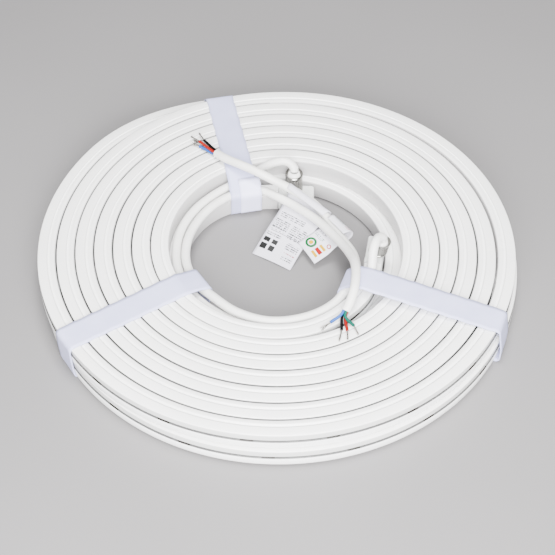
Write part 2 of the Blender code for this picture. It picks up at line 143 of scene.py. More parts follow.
def add_tube(name, route, diameter, sides=6):
    """A round cord along a route."""
    curve = round_curve(name, diameter, sides)
    add_line(curve, route)
    return new_piece(name, curve)


def closed_mesh(name, verts, faces, sharp_angle):
    """A closed mesh with its faces turned outwards, smooth apart from edges sharper than the angle."""
    mesh = bpy.data.meshes.new(name)
    mesh.from_pydata(verts, [], faces)
    work = bmesh.new()
    work.from_mesh(mesh)
    bmesh.ops.recalc_face_normals(work, faces=work.faces)
    work.to_mesh(mesh)
    work.free()
    mesh.shade_smooth()
    mesh.set_sharp_from_angle(angle=math.radians(sharp_angle))
    return new_piece(name, mesh)


def grid_faces(rows, count, closed):
    """Four-sided faces between rows of points. A closed row ends where it starts."""
    faces = []
    for k in range(rows - 1):
        for n in range(count if closed else count - 1):
            a, b = k * count + n, k * count + (n + 1) % count
            faces.append((a, b, b + count, a + count))
    return faces


def sheet_mesh(name, verts, faces, thickness):
    """A sheet of points that a modifier makes thick on both sides."""
    mesh = bpy.data.meshes.new(name)
    mesh.from_pydata(verts, [], faces)
    mesh.shade_smooth()
    made = new_piece(name, mesh)
    thick = made.modifiers.new("thickness", "SOLIDIFY")
    thick.thickness = thickness
    thick.offset = 0.0
    return made


# %% [markdown]
# ## The two leads
# Each lead rises out of its end cap, bends over at once, goes round the bore on the lower layer
# and comes back across the bore with a light sag. They are 5.8 mm thick. The photo shows them
# from end to end, so their lengths are what the routes measure: a little under half a metre each.

# %% Leads
lead_diameter = 0.0058
LEAD_FROM_LOWER = [
    (0.00919, 0.06670, 0.02485), (0.00920, 0.06761, 0.02655), (0.0078, 0.0692, 0.0283),
    (0.0038, 0.0703, 0.0306), (-0.0020, 0.0706, 0.0300), (-0.0085, 0.0705, 0.0269),
    (-0.0165, 0.0688, 0.0223), (-0.0300, 0.0622, 0.0183), (-0.0440, 0.0520, 0.0174),
    (-0.0560, 0.0385, 0.0174), (-0.0643, 0.0215, 0.0174), (-0.0674, 0.0030, 0.0174),
    (-0.0658, -0.0150, 0.0174), (-0.0583, -0.0323, 0.0174), (-0.0464, -0.0470, 0.0174),
    (-0.0290, -0.0586, 0.0174), (-0.0080, -0.0640, 0.0173), (0.0120, -0.0622, 0.0171),
    (0.0285, -0.0530, 0.0170), (0.0408, -0.0390, 0.0176), (0.0472, -0.0268, 0.0192),
    (0.0485, -0.0161, 0.0190), (0.0470, -0.0039, 0.0180), (0.0407, 0.0108, 0.0165),
    (0.0324, 0.0291, 0.0155), (0.0219, 0.0431, 0.0180), (0.0071, 0.0513, 0.0230),
    (-0.0036, 0.0541, 0.0280), (-0.0151, 0.0578, 0.0325), (-0.0270, 0.0641, 0.0336),
    (-0.0377, 0.0720, 0.0323), (-0.0431, 0.0780, 0.0308),
]
LEAD_FROM_UPPER = [
    (0.06409, -0.00918, 0.03789), (0.06448, -0.00924, 0.03978), (0.0612, -0.0122, 0.0428),
    (0.0592, -0.0166, 0.0432), (0.0577, -0.0212, 0.0395), (0.0573, -0.0255, 0.0345),
    (0.0563, -0.0300, 0.0314), (0.0520, -0.0352, 0.0306), (0.0458, -0.0386, 0.0298),
    (0.0406, -0.0420, 0.0268), (0.0352, -0.0478, 0.0240), (0.0260, -0.0555, 0.0234),
    (0.0125, -0.0618, 0.0234), (-0.0070, -0.0640, 0.0234), (-0.0270, -0.0570, 0.0234),
    (-0.0425, -0.0425, 0.0218), (-0.0530, -0.0285, 0.0182), (-0.0602, -0.0110, 0.0174),
    (-0.0608, 0.0070, 0.0174), (-0.0545, 0.0270, 0.0174), (-0.0430, 0.0432, 0.0174),
    (-0.0275, 0.0535, 0.0174), (-0.0130, 0.0560, 0.0175), (-0.0030, 0.0510, 0.0168),
    (0.0071, 0.0444, 0.0160), (0.0217, 0.0313, 0.0165), (0.0358, 0.0095, 0.0205),
    (0.0440, -0.0140, 0.0298), (0.0464, -0.0300, 0.0372), (0.0460, -0.0440, 0.0394),
    (0.0444, -0.0530, 0.0386), (0.0423, -0.0583, 0.0352), (0.0395, -0.0630, 0.0318),
]
routes = {
    "lower": smooth_route(LEAD_FROM_LOWER, 0.002),
    "upper": smooth_route(LEAD_FROM_UPPER, 0.002),
}
leads = {}
for layer, route in routes.items():
    leads[layer] = add_tube("lead_jacket_" + layer, route, lead_diameter)
    print(layer, "lead:", round(route_length(route), 4), "m long")

# %% [markdown]
# ## The four cores of each lead
# Past the jacket's end the black, red, blue and green cores fan out, and each ends in a few
# millimetres of bare tinned strands. One core is a thin tube that starts inside the jacket. Its
# metal end is a handful of finer strands, which spread a little.

# %% Cores and strands
core_diameter = 0.0019
core_ring = 0.0015
strand_diameter = 0.00032
CORES = {
    "lower": [
        ("black", (-0.0520, 0.0920, 0.0297), (-0.0558, 0.0996, 0.0293)),
        ("green", (-0.0534, 0.0896, 0.0286), (-0.0595, 0.0940, 0.0283)),
        ("blue", (-0.0552, 0.0870, 0.0290), (-0.0604, 0.0907, 0.0284)),
        ("red", (-0.0552, 0.0902, 0.0306), (-0.0612, 0.0966, 0.0290)),
    ],
    "upper": [
        ("blue", (0.0300, -0.0700, 0.0292), (0.0245, -0.0746, 0.0284)),
        ("black", (0.0367, -0.0758, 0.0290), (0.0351, -0.0834, 0.0281)),
        ("red", (0.0402, -0.0762, 0.0290), (0.0402, -0.0826, 0.0281)),
        ("green", (0.0444, -0.0727, 0.0291), (0.0468, -0.0786, 0.0282)),
    ],
}
cores = {"lower": [], "upper": []}
strands = {"lower": [], "upper": []}
random.seed(4)


def add_strands(name, start, end, spread):
    """A few fine strands that leave together and fan out, as one curve object."""
    curve = round_curve(name, strand_diameter, 2)
    run = end - start
    side = run.cross(Vector((0, 0, 1))).normalized()
    for k in range(7):
        turn = math.tau * k / 6
        ring = 0.0 if k == 6 else 1.0
        offset = (side * math.cos(turn) + Vector((0, 0, 1)) * math.sin(turn)) * ring
        far = random.uniform(0.88, 1.06)
        places = []
        for share in (0.0, 0.25, 0.5, 0.75, 1.0):
            twist = Matrix.Rotation(share * 1.6, 3, run.normalized())
            width = strand_diameter * 0.95 + spread * share * share * random.uniform(0.6, 1.3)
            places.append(start + run * (share * far) + (twist @ offset) * width)
        add_line(curve, places)
    return new_piece(name, curve)


for layer, rows in CORES.items():
    end = routes[layer][-1]
    along = (end - routes[layer][-2]).normalized()
    side = along.cross(Vector((0, 0, 1))).normalized()
    up = side.cross(along)
    for number, (colour, bend, stop) in enumerate(rows):
        turn = math.radians(45 - 90 * number)
        offset = (side * math.cos(turn) + up * math.sin(turn)) * core_ring
        first = end + offset - along * 0.003
        path = smooth_route([first, first + along * 0.0055, Vector(bend)], 0.0008)
        core = add_tube(f"core_{colour}_{layer}", path, core_diameter, 4)
        cores[layer].append((colour, core))
        frayed = 0.0011 if colour == "blue" else 0.00022
        strands[layer].append(add_strands(f"strands_{colour}_{layer}", path[-1], Vector(stop), frayed))
print("cores:", sum(len(v) for v in cores.values()))

# %% [markdown]
# ## The strip
# The strip is one long bar of silicone. Its path is a spiral: round the upper layer from the
# bore outwards, down a short ramp at the back left, and round the lower layer back to the bore.
# We read the distance from the axis at a list of angles, counted in turns clockwise from +X,
# and pull a drawn section along it. LOOSENESS says how far a lower turn stands out at the front
# left, by the number of the turn. The section has soft edges, the slit in its outer side, and
# the small step on its top and bottom faces that makes the fine line on every turn. On the top
# face, a painted highlight and painted shade beside the step make that line stronger.

# %% The strip's path
strip_width = 0.0114
strip_height = 0.0127
lower_middle = 0.0076
upper_middle = 0.0206
turn_pitch = 0.012
upper_inner_radius = 0.07155
lower_inner_radius = 0.0863
steps_per_turn = 204
LOOSENESS = {7: 0.0062, 8: 0.0040, 9: 0.0024, 10: 0.0012, 11: 0.0005}
UPPER_START = [
    (0.0500, 0.0613), (0.0667, 0.0626), (0.0889, 0.0645), (0.1111, 0.0666), (0.1528, 0.0693),
    (0.1806, 0.0713), (0.2083, 0.0731), (0.2500, 0.0743), (0.3125, 0.0752), (0.3750, 0.0760),
]
RAMP = [
    (5.75, 0.14055), (5.83, 0.14250), (5.90, 0.14375), (5.95, 0.14415), (6.0, 0.14430), (6.05, 0.14440),
    (6.1, 0.14480), (6.25, 0.1466), (6.4, 0.1484), (6.5, 0.1497), (6.6, 0.1508), (6.66, 0.1515),
    (6.72, 0.1521), (6.76, 0.1521), (6.82, 0.1510), (6.9, 0.1490), (7.0, 0.1469),
]
LOWER_END = [
    (12.0, 0.0863), (12.25, 0.0833), (12.5, 0.0803), (12.75, 0.0770), (12.833, 0.0758), (13.0, 0.0733),
    (13.125, 0.0716), (13.25, 0.0703), (13.375, 0.0693), (13.5, 0.0684), (13.567, 0.0680),
    (13.631, 0.0666), (13.681, 0.0634), (13.714, 0.0608), (13.746, 0.0595),
]
strip_start, strip_end = UPPER_START[0][0], LOWER_END[-1][0]
ramp_start, ramp_end = 6.595, 6.745


def read_table(table, at):
    """A value between the rows of a table of (place, value), on a smooth curve."""
    knots = [Vector((place, value * 10, 0)) for place, value in table]
    i = max(k for k in range(len(knots) - 1) if knots[k].x <= at + 1e-9)
    low, high = 0.0, 1.0
    for _ in range(22):
        middle = (low + high) / 2
        low, high = (middle, high) if spline_value(knots, i, middle).x < at else (low, middle)
    return spline_value(knots, i, low).y / 10


def soft_step(value, low, high):
    """0 up to the low value, 1 from the high one, and a soft rise between them."""
    share = min(1.0, max(0.0, (value - low) / (high - low)))
    return share * share * (3 - 2 * share)


def strip_radius(turns):
    """The distance from the axis to the strip's middle line."""
    if turns < UPPER_START[-1][0]:
        return read_table(UPPER_START, turns)
    if turns < RAMP[0][0]:
        return upper_inner_radius + turn_pitch * turns
    if turns < RAMP[-1][0]:
        return read_table(RAMP, turns)
    if turns > LOWER_END[0][0]:
        return read_table(LOWER_END, turns)
    share = turns % 1
    bulge = LOOSENESS.get(int(turns), 0) * soft_step(share, 0, 0.33) * (1 - soft_step(share, 0.44, 0.68))
    past_ramp = 0.0004 * max(0.0, 1 - abs(turns - RAMP[-1][0]))
    return lower_inner_radius + turn_pitch * (LOWER_END[0][0] - turns) + bulge + past_ramp


def strip_place(turns):
    """A point of the strip's middle line."""
    z = upper_middle + (lower_middle - upper_middle) * soft_step(turns, ramp_start, ramp_end)
    wander = 0.00011 * math.sin(turns * 7.3) + 0.00009 * math.sin(turns * 17.9 + 1.0)
    wander *= min(1.0, (turns - strip_start) * 4, (strip_end - turns) * 4)
    angle = -math.tau * turns
    radius = strip_radius(turns) + wander
    return Vector((radius * math.cos(angle), radius * math.sin(angle), z))


strip_steps = round((strip_end - strip_start) * steps_per_turn)
strip_line = [
    strip_place(strip_start + (strip_end - strip_start) * k / strip_steps) for k in range(strip_steps + 1)
]
strip_run = [0.0]
for a, b in zip(strip_line, strip_line[1:]):
    strip_run.append(strip_run[-1] + (b - a).length)
print("strip:", round(strip_run[-1], 3), "m in", round(strip_end - strip_start, 2), "turns")


# %% The strip's section
def arc(cx, cz, radius, start, stop, parts=3):
    """Points of a rounded corner, in degrees from the outward direction."""
    return [
        (cx + radius * math.cos(math.radians(a)), cz + radius * math.sin(math.radians(a)))
        for a in (start + (stop - start) * k / parts for k in range(parts + 1))
    ]


def strip_section():
    """The section, counter-clockwise, as (outwards, up)."""
    half, high, edge = strip_width / 2, strip_height / 2, 0.0006
    slit, step = 0.0004, -0.0010
    points = arc(half - edge, -high + edge, edge, -90, 0)
    points += [(half + 0.0001, -0.0030), (half, slit - 0.0006), (half - 0.0003, slit - 0.00025)]
    points += [(half - 0.0011, slit - 0.0002), (half - 0.0011, slit + 0.0002)]
    points += [(half - 0.0005, slit + 0.0003), (half - 0.0003, 0.0035)]
    points += arc(half - edge - 0.0001, high - edge - 0.0001, edge, 0, 90)
    points += [(step + 0.0010, high), (step + 0.0004, high - 0.00005), (step - 0.0001, high - 0.0006)]
    points += [(step - 0.0006, high - 0.0005)]
    points += [(step - 0.0015, high - 0.0001), (step - 0.0023, high - 0.0001)]
    points += arc(-half + edge, high - 0.0005 - edge, edge, 90, 180)
    points += [(-half, 0.0)]
    points += arc(-half + edge, -high + edge, edge, 180, 270)
    points += [(step - 0.0008, -high - 0.00008), (step - 0.0003, -high - 0.00005), (step, -high + 0.00035)]
    points += [(step + 0.0008, -high + 0.0002)]
    return points


def sweep(name, line, section):
    """A mesh of the section pulled along the line, always upright.

    Each point keeps its run and its place in the section.
    """
    verts, places = [], []
    count = len(section)
    run = 0.0
    for k, place in enumerate(line):
        ahead = line[min(k + 1, len(line) - 1)] - line[max(k - 1, 0)]
        ahead = Vector((ahead.x, ahead.y, 0)).normalized()
        out = Vector((-ahead.y, ahead.x, 0))
        run += (place - line[k - 1]).length if k else 0.0
        for u, v in section:
            verts.append(place + out * u + Vector((0, 0, v)))
            places += [run, u, v]
    faces = grid_faces(len(line), count, closed=True)
    faces.append(tuple(range(count))[::-1])
    faces.append(tuple((len(line) - 1) * count + n for n in range(count)))
    made = closed_mesh(name, verts, faces, 50)
    stored = made.data.attributes.new("place", "FLOAT_VECTOR", "POINT")
    stored.data.foreach_set("vector", places)
    return made


strip = sweep("strip", strip_line, strip_section())
print("strip faces:", len(strip.data.polygons))

# %% [markdown]
# ## End caps
# Each end of the strip wears a moulded silicone cap, a little bigger than the strip, with a lip
# where it takes the strip in. It is a short sweep whose section swells at the lip and shrinks
# into a rounded nose.


# %% End caps
def add_cap(name, middle, heading, length):
    """A rounded cap along its heading, lofted from rounded rectangles."""
    out = Vector((-heading.y, heading.x, 0))
    rows = [
        (-0.5, -0.0010), (-0.5, 0.0), (-0.47, 0.00018), (-0.33, 0.00018), (-0.30, -0.00005),
        (-0.27, -0.00008), (0.40, -0.00008), (0.452, -0.00025), (0.485, -0.0008), (0.5, -0.0016),
    ]
    half, high = strip_width / 2, strip_height / 2
    verts = []
    for share, grow in rows:
        ring = []
        edge = max(0.0004, 0.0013 + grow)
        for cx, cz, start in ((1, 1, 0), (-1, 1, 90), (-1, -1, 180), (1, -1, 270)):
            ring += arc(cx * (half + grow - edge), cz * (high + grow - edge), edge, start, start + 90, 4)
        verts += [middle + heading * (share * length) + out * u + Vector((0, 0, v)) for u, v in ring]
    per_row = len(verts) // len(rows)
    faces = grid_faces(len(rows), per_row, closed=True)
    faces.append(tuple(range(per_row)))
    faces.append(tuple((len(rows) - 1) * per_row + n for n in range(per_row)))
    return closed_mesh(name, verts, faces, 35)


cap_length = 0.0240
CAPS = {
    "lower": ((0.01074, 0.05924, lower_middle), (0.9998, -0.0197, 0)),
    "upper": ((0.06037, -0.00682, upper_middle), (0.1681, 0.9858, 0)),
}
caps = {
    layer: add_cap("cap_" + layer, Vector(middle), Vector(heading), cap_length)
    for layer, (middle, heading) in CAPS.items()
}
print("caps:", list(caps))

# %% [markdown]
# ## Ferrules and boots
# A short metal sleeve stands on each cap, and a soft white boot inside it carries the lead. The
# lead pulls both over a little, so they lean. We turn a profile round an axis, press fine
# upright flutes into it, and then shear the whole piece so that its foot stays flat.


# %% Turned pieces
def turned(name, profile, steps, flutes=0, depth=0.0):
    """A closed profile of (radius, height, share of the flutes) turned round Z."""
    verts, faces = [], []
    count = len(profile)
    for k in range(steps):
        angle = math.tau * k / steps
        dent = depth * (0.5 + 0.5 * math.cos(flutes * angle)) if flutes else 0.0
        for radius, z, share in profile:
            reach = radius - dent * share
            verts.append((reach * math.cos(angle), reach * math.sin(angle), z))
    for k in range(steps):
        for n in range(count):
            a, b = k * count + n, k * count + (n + 1) % count
            c = ((k + 1) % steps) * count
            faces.append((a, b, c + (n + 1) % count, c + n))
    return closed_mesh(name, verts, faces, 40)


FERRULE = [
    (0.0060, 0.0, 0), (0.0060, 0.0010, 0), (0.0057, 0.0013, 0), (0.0058, 0.0017, 1),
    (0.0058, 0.0074, 1), (0.0057, 0.0078, 0), (0.0060, 0.0082, 0), (0.00605, 0.0090, 0),
    (0.0058, 0.0095, 0), (0.0052, 0.0095, 0), (0.0048, 0.0090, 0), (0.0048, 0.0, 0),
]
BOOT = [
    (0.0046, 0.0, 0), (0.0046, 0.0072, 0), (0.0044, 0.0085, 0), (0.0039, 0.0097, 0),
    (0.0033, 0.0104, 0), (0.0029, 0.0106, 0), (0.0029, 0.0, 0),
]
flutes = 24
flute_depth = 0.00028
ferrules, boots = {}, {}
for layer, foot, outward, lean in (
    ("lower", Vector((0.00908, 0.06107, 0.01405)), Vector((0.0197, 0.9998, 0)), 28),
    ("upper", Vector((0.06186, -0.00880, 0.02705)), Vector((0.9858, -0.1681, 0)), 12),
):
    slant = outward * math.tan(math.radians(lean))
    lean_over = Matrix(((1, 0, slant.x, 0), (0, 1, slant.y, 0), (0, 0, 1, 0), (0, 0, 0, 1)))
    for made, store in (
        (turned("ferrule_sleeve_" + layer, FERRULE, 144, flutes, flute_depth), ferrules),
        (turned("boot_sleeve_" + layer, BOOT, 48), boots),
    ):
        made.data.transform(Matrix.Translation(foot) @ lean_over)
        store[layer] = made
print("ferrules and boots:", len(ferrules) + len(boots))

# %% [markdown]
# ## Straps
# A strap is a band of thin plastic film, pulled tight round the coil and round the leads that
# lie on the ledge. A tight band is the convex outline of what it holds, so we collect circles
# for the strip's corners and for the leads, take their hull, and give it a thickness. The film
# of the back strap overlaps in the bore, so a short second layer lies on it there.


# %% Straps
strap_width = 0.0185
strap_thickness = 0.0007
strap_slack = 0.0007
film_corner = 0.0024
flap_shares = (-0.64, 0.15)
flap_lift = 0.0008
flap_reach = 0.012
flap_foot = 0.002
strap_from_axis = 0.117
hold_margin = 0.001
side_slack = 0.0002
STRAPS = [("back", 108.5, -6.5), ("left", 212.0, 1.0), ("right", 331.0, 9.5)]


def hull(points):
    """The convex hull of 2-D points, counter-clockwise."""
    points = sorted(set(points))
    sides = []
    for ordered in (points, points[::-1]):
        side = []
        for p in ordered:
            while len(side) > 1 and (
                (side[-1][0] - side[-2][0]) * (p[1] - side[-2][1])
                - (side[-1][1] - side[-2][1]) * (p[0] - side[-2][0])
            ) <= 1e-12:
                side.pop()
            side.append(p)
        sides.append(side[:-1])
    return sides[0] + sides[1]


def held_circles(middle, along, across):
    """What the strap goes round, as circles (along, up, radius) in its own plane."""
    def under_strap(place):
        offset = place - middle
        near_strap = abs(offset.dot(across)) < strap_width / 2 + hold_margin
        return near_strap and offset.dot(along) > -middle.length

    circles = []
    side, top = strip_width / 2 + side_slack - film_corner, strip_height / 2 - film_corner
    for place in filter(under_strap, strip_line):
        for u in (-1, 1):
            for v in (-1, 1):
                reach = (place - middle).dot(along) + u * side
                circles.append((reach, place.z + v * top, film_corner))
    for route in routes.values():
        found = False
        for place in route:
            if under_strap(place):
                circles.append(((place - middle).dot(along), place.z, lead_diameter / 2))
                found = True
            elif found:
                break
    return circles


def band_outline(circles, grow):
    """A tight outline round the circles, each grown by an amount, with points an even distance apart."""
    dots = []
    for u, z, radius in circles:
        reach = radius + grow
        for k in range(20):
            turn = math.tau * k / 20
            dots.append((round(u + reach * math.cos(turn), 6), round(z + reach * math.sin(turn), 6)))
    corners = [Vector(p) for p in hull(dots)]
    corners.append(corners[0])
    outline = []
    for a, b in zip(corners, corners[1:]):
        parts = max(1, round((b - a).length / 0.003))
        outline += [a.lerp(b, k / parts) for k in range(parts)]
    return outline


def film_mesh(name, outline, middle, along, across, first_share, last_share, lift, closed):
    """A film along an outline, between two shares of the strap's width, a little wavy at its edges."""
    count = len(outline)
    rows = 9
    verts = []
    for r in range(rows):
        share = first_share + (last_share - first_share) * r / (rows - 1)
        for n, p in enumerate(outline):
            before = outline[n - 1] if closed or n else p
            after = outline[(n + 1) % count] if closed or n < count - 1 else p
            ahead = (after - before).normalized()
            wave = 0.00014 * math.sin(n * 0.55 + 9 * share) * (0.3 + 2 * share * share)
            p = p + Vector((ahead.y, -ahead.x)) * (lift + max(0.0, wave))
            sideways = share * (strap_width + 0.0004 * math.sin(p.x * 520))
            verts.append(middle + along * p.x + across * sideways + Vector((0, 0, max(0.00001, p.y))))
    made = sheet_mesh(name, verts, grid_faces(rows, count, closed), strap_thickness)
    made.modifiers["thickness"].use_even_offset = True
    made.data.set_sharp_from_angle(angle=math.radians(60))
    return made


def on_bore_side(p, outline):
    """True for the part of a strap that hangs in the bore, where the film's end overlaps."""
    return p.x < min(q.x for q in outline) + flap_reach and p.y > flap_foot


def add_strap(name, angle, skew, flap):
    turn = math.radians(angle)
    middle = Vector((math.cos(turn), math.sin(turn), 0)) * strap_from_axis
    heading = turn + math.radians(skew)
    along = Vector((math.cos(heading), math.sin(heading), 0))
    across = Vector((-along.y, along.x, 0))
    outline = band_outline(held_circles(middle, along, across), strap_slack)
    count = len(outline)
    band = film_mesh(name, outline, middle, along, across, -0.5, 0.5, 0.0, closed=True)
    if not flap:
        return [band]
    innermost = min(range(count), key=lambda n: outline[n].x)
    from_innermost = [outline[(innermost + n) % count] for n in range(-count // 2, count // 2)]
    bore_side = [p for p in from_innermost if on_bore_side(p, outline)]
    first, last = flap_shares
    over = film_mesh(name + "_flap", bore_side, middle, along, across, first, last, flap_lift, closed=False)
    return [band, over]


straps = {
    name: add_strap("band_" + name, angle, skew, flap=name == "back") for name, angle, skew in STRAPS
}
print("straps:", {name: [len(p.data.polygons) for p in pieces] for name, pieces in straps.items()})

# %% [markdown]
# ## Paper flags
# Two small printed papers hang from the leads into the bore. Both go over a lead at their far
# end, and the wide one reaches the floor. Each is a grid of points between two given edges,
# bent where the leads press on it. Their print comes later, with the finishes.

# %% Paper flags
paper_thickness = 0.00022


def add_paper(name, left, right, parts=14):
    """A sheet between two edges, each a list of points from the free end up."""
    left, right = smooth_route(left, 0.0012), smooth_route(right, 0.0012)
    rows = min(len(left), len(right))
    verts, page = [], []
    for r in range(rows):
        a = left[round(r * (len(left) - 1) / (rows - 1))]
        b = right[round(r * (len(right) - 1) / (rows - 1))]
        for c in range(parts + 1):
            share = c / parts
            crown = 0.0006 * math.sin(math.pi * share) * (1 - r / rows)
            verts.append(a.lerp(b, share) + Vector((0, 0, crown)))
            page += [share, r / (rows - 1), 0.0]
    made = sheet_mesh(name, verts, grid_faces(rows, parts + 1, closed=False), paper_thickness)
    stored = made.data.attributes.new("page", "FLOAT_VECTOR", "POINT")
    stored.data.foreach_set("vector", page)
    return made


papers = {
    "wide": add_paper(
        "flag_wide",
        [
            (-0.0187, 0.0137, 0.0007), (-0.0085, 0.0311, 0.0068), (0.0012, 0.0475, 0.0118),
            (0.0046, 0.0520, 0.0170), (0.0072, 0.0549, 0.0225), (0.0066, 0.0538, 0.0262),
            (0.0053, 0.0514, 0.0270), (0.0042, 0.0494, 0.0258),
        ],
        [
            (0.0062, -0.0016, 0.0007), (0.0164, 0.0158, 0.0068), (0.0245, 0.0268, 0.0115),
            (0.0302, 0.0334, 0.0124), (0.0338, 0.0352, 0.0162), (0.0325, 0.0340, 0.0192),
            (0.0301, 0.0324, 0.0198), (0.0280, 0.0310, 0.0186),
        ],
    ),
    "small": add_paper(
        "flag_small",
        [
            (0.0115, 0.0171, 0.0074), (0.0200, 0.0220, 0.0103), (0.0260, 0.0253, 0.0126),
            (0.0315, 0.0286, 0.0122), (0.0356, 0.0312, 0.0146), (0.0360, 0.0314, 0.0176),
            (0.0338, 0.0300, 0.0202), (0.0309, 0.0282, 0.0196),
        ],
        [
            (0.0221, -0.0002, 0.0056), (0.0306, 0.0050, 0.0085), (0.0370, 0.0090, 0.0126),
            (0.0420, 0.0122, 0.0132), (0.0468, 0.0156, 0.0150), (0.0474, 0.0163, 0.0178),
            (0.0446, 0.0148, 0.0204), (0.0410, 0.0126, 0.0206),
        ],
    ),
}
print("papers:", list(papers))

# %% [markdown]
# ## The floor and the light
# The photo has a plain grey ground with soft light from above and from the front. A large plane
# and three area lamps give that: one overhead, a big one high in front, and a low one that lights
# the outer side of the coil.

# %% Floor and light
bpy.ops.mesh.primitive_plane_add(size=6.0, location=(0, 0, -0.0002))
floor = bpy.context.object
floor.name = "floor"


def add_lamp(name, place, aim, size, power):
    lamp_data = bpy.data.lights.new(name, "AREA")
    lamp_data.shape = "SQUARE"
    lamp_data.size = size
    lamp_data.energy = power
    lamp = bpy.data.objects.new(name, lamp_data)
    bpy.context.scene.collection.objects.link(lamp)
    lamp.location = place
    lamp.rotation_euler = (Vector(aim) - Vector(place)).to_track_quat("-Z", "Y").to_euler()


add_lamp("overhead softbox", (0, 0.0, 1.25), (0, 0, 0), 0.4, 26)
add_lamp("front softbox", (0.20, -0.85, 0.95), (0, -0.1, 0), 0.8, 42)
add_lamp("low softbox", (-0.05, -0.78, 0.40), (0, -0.15, 0.01), 0.5, 24)
world = bpy.data.worlds.new("studio")
world.use_nodes = True
world.node_tree.nodes["Background"].inputs["Color"].default_value = (1.0, 0.99, 0.98, 1.0)
world.node_tree.nodes["Background"].inputs["Strength"].default_value = 0.50
bpy.context.scene.world = world

# %% [markdown]
# ## Finishes
# Every finish is a small node tree on the Principled shader. Values that are the same all over
# go on the shader's own sockets. Noise then varies the colour and the roughness a little, and a
# bump gives each surface its grain.


# %% Finish helper
def new_finish(name, roughness, **settings):
    made = bpy.data.materials.new(name)
    made.use_nodes = True
    shader = made.node_tree.nodes["Principled BSDF"]
    shader.inputs["Roughness"].default_value = roughness
    for key, value in settings.items():
        shader.inputs[key.replace("_", " ")].default_value = value
    return made, made.node_tree, shader


def add_node(tree, kind, values=(), **settings):
    node = tree.nodes.new(kind)
    for key, value in settings.items():
        setattr(node, key, value)
    for socket, value in values:
        node.inputs[socket].default_value = value
    return node


def noise_value(tree, scale, detail=2.0, stretch=None):
    """A noise texture in object space, from 0 to 1."""
    place = add_node(tree, "ShaderNodeTexCoord")
    noise = add_node(tree, "ShaderNodeTexNoise", [("Scale", scale), ("Detail", detail)])
    source = place.outputs["Object"]
    if stretch:
        mapping = add_node(tree, "ShaderNodeMapping", [("Scale", stretch)])
        tree.links.new(source, mapping.inputs["Vector"])
        source = mapping.outputs["Vector"]
    tree.links.new(source, noise.inputs["Vector"])
    return noise.outputs["Fac"]


def ramp(tree, source, stops):
    """A colour ramp over a value."""
    node = add_node(tree, "ShaderNodeValToRGB")
    elements = node.color_ramp.elements
    while len(elements) < len(stops):
        elements.new(0.5)
    for element, (place, colour) in zip(elements, stops):
        element.position = place
        element.color = (*colour, 1.0)
    tree.links.new(source, node.inputs["Fac"])
    return node.outputs["Color"]


def bump(tree, shader, source, strength, distance):
    node = add_node(tree, "ShaderNodeBump", [("Strength", strength), ("Distance", distance)])
    tree.links.new(source, node.inputs["Height"])
    tree.links.new(node.outputs["Normal"], shader.inputs["Normal"])


def vary_roughness(tree, shader, source, low, high):
    node = add_node(tree, "ShaderNodeMapRange", [("To Min", low), ("To Max", high)])
    tree.links.new(source, node.inputs["Value"])
    tree.links.new(node.outputs["Result"], shader.inputs["Roughness"])


def grained(name, low, high, roughness, scale, depth, **settings):
    """A finish with two close colours, a varied roughness and a fine grain."""
    made, tree, shader = new_finish(name, roughness, **settings)
    colour = ramp(tree, noise_value(tree, scale / 8), [(0.3, low), (0.7, high)])
    tree.links.new(colour, shader.inputs["Base Color"])
    vary_roughness(tree, shader, noise_value(tree, scale / 3), roughness - 0.06, roughness + 0.06)
    bump(tree, shader, noise_value(tree, scale, 4.0), 0.25, depth)
    return made


# %% [markdown]
# The silicone of the strip is white. On its outer side the part above the slit is greyer than the
# part below it, and every 49 mm a short dark mark sits in the slit, where the board inside can be
# cut. The slit itself is painted dark, as painted shade. On top, a painted highlight runs along the
# ridge beside a step with painted shade. The sweep stored the run along the strip and the place in
# the section, so simple maths on those values finds the marks and the zones. The narrow gaps between
# the turns get painted shade that grows darker with depth, but not where the turns stand apart. GAPS
# says where they are narrow: the side, the height where the painted shade is full, and the two turns
# between which it lies. The painted shade starts at gap_top.

# %% Silicone
mark_spacing = 0.0487
mark_length = 0.0075
first_mark = 0.0398
gap_top = 0.0060
GAPS = [
    ("outer", 0.0053, 0.55, 4.74), ("outer", 0.0053, 5.04, 5.62), ("outer", 0.0053, 7.72, 12.95),
    ("inner", 0.0055, 1.50, 5.74), ("inner", 0.0055, 6.04, 12.62),
]


def maths(tree, operation, *values):
    """A math node over numbers and sockets."""
    node = add_node(tree, "ShaderNodeMath", operation=operation)
    for socket, value in zip(node.inputs, values):
        if isinstance(value, (int, float)):
            socket.default_value = value
        else:
            tree.links.new(value, socket)
    return node.outputs["Value"]


def run_at(turns):
    """The run along the strip at a number of turns."""
    return strip_run[round((turns - strip_start) / (strip_end - strip_start) * strip_steps)]


def near(tree, value, middle, reach):
    """1 where the value is within reach of the middle, and 0 elsewhere."""
    return maths(tree, "COMPARE", value, middle, reach)


def between(tree, value, low, high):
    """1 where the value lies from low to high, and 0 elsewhere."""
    return near(tree, value, (low + high) / 2, (high - low) / 2)


def mixed(tree, share, one, other):
    """Two colours mixed by a share. Each is a tuple or a socket."""
    node = add_node(tree, "ShaderNodeMix", data_type="RGBA")
    tree.links.new(share, node.inputs["Factor"])
    for socket, colour in ((node.inputs[6], one), (node.inputs[7], other)):
        if isinstance(colour, tuple):
            socket.default_value = (*colour, 1.0)
        else:
            tree.links.new(colour, socket)
    return node.outputs[2]


